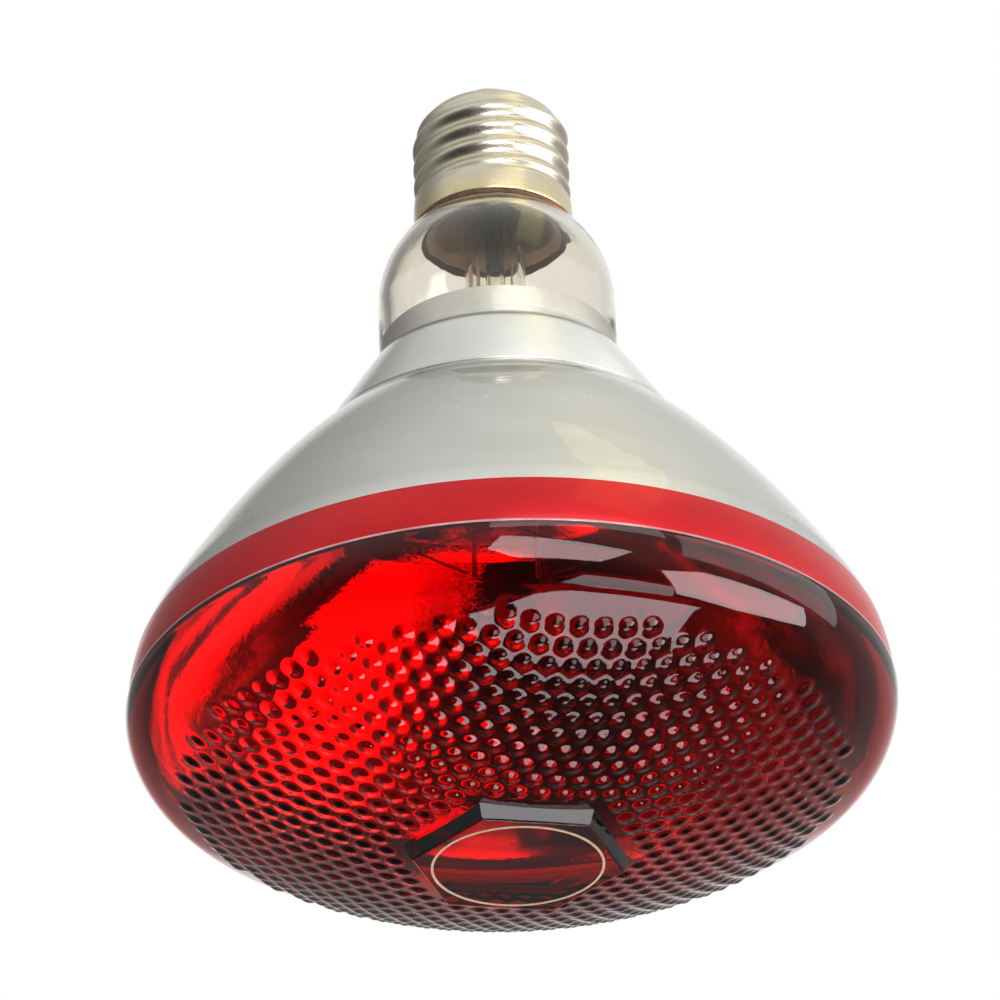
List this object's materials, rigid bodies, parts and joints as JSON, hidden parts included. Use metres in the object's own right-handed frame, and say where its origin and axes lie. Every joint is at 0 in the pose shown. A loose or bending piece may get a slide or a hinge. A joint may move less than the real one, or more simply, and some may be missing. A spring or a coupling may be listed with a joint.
{
  "type": "infrared heat lamp",
  "caption": "Sealed reflector lamp with a screw cap, silvered dish and bumped red lens that throws radiant heat downwards.",
  "frame": {"origin": "middle of the flat tip of the centre contact", "axes": "+Z along the lamp's axis from the lens to the cap; the filament lies along X; the lens and its six sided pad face -Z"},
  "size_m": [0.1228, 0.1228, 0.145],
  "materials": {
    "cap_nickel": "nickel plated brass, warm satin, handled",
    "dark_glass": "black insulating glass, glossy",
    "contact_brass": "plain brass, slightly dulled",
    "solder": "frozen solder, dull with bright spots",
    "cement": "tan basing cement, matt and grainy",
    "clear_glass": "pressed clear hard glass, fire polished",
    "mirror_aluminium": "evaporated mirror behind glass",
    "red_lacquer": "fired red band, satin gloss",
    "red_glass": "pressed ruby glass, polished, bumped field",
    "fired_ink": "thin beige fired print",
    "stem_glass": "soft glass with a faint green tint",
    "lead_wire": "copper clad wire",
    "seal_wire": "oxidised seal wire",
    "nickel_post": "drawn nickel",
    "tungsten": "coiled tungsten, dark grey",
    "hook_wire": "drawn molybdenum"
  },
  "bodies": {
    "root": {"screw_shell": "cap_nickel", "insulator": "dark_glass", "contact_eyelet": "contact_brass", "contact_solder": "solder", "rim_solder": "solder", "basing_cement": "cement", "reflector_glass": "clear_glass", "mirror_film": "mirror_aluminium", "red_edge_coat": "red_lacquer", "lens": "red_glass", "print_ring": "fired_ink", "stem_glass": "stem_glass", "exhaust_tube": "stem_glass", "lead_centre": "lead_wire", "lead_side": "lead_wire", "seal_wires": "seal_wire", "post_left": "nickel_post", "post_right": "nickel_post", "filament": "tungsten", "hook_wires": "hook_wire", "hook_button": "stem_glass"}
  },
  "joints": []
}
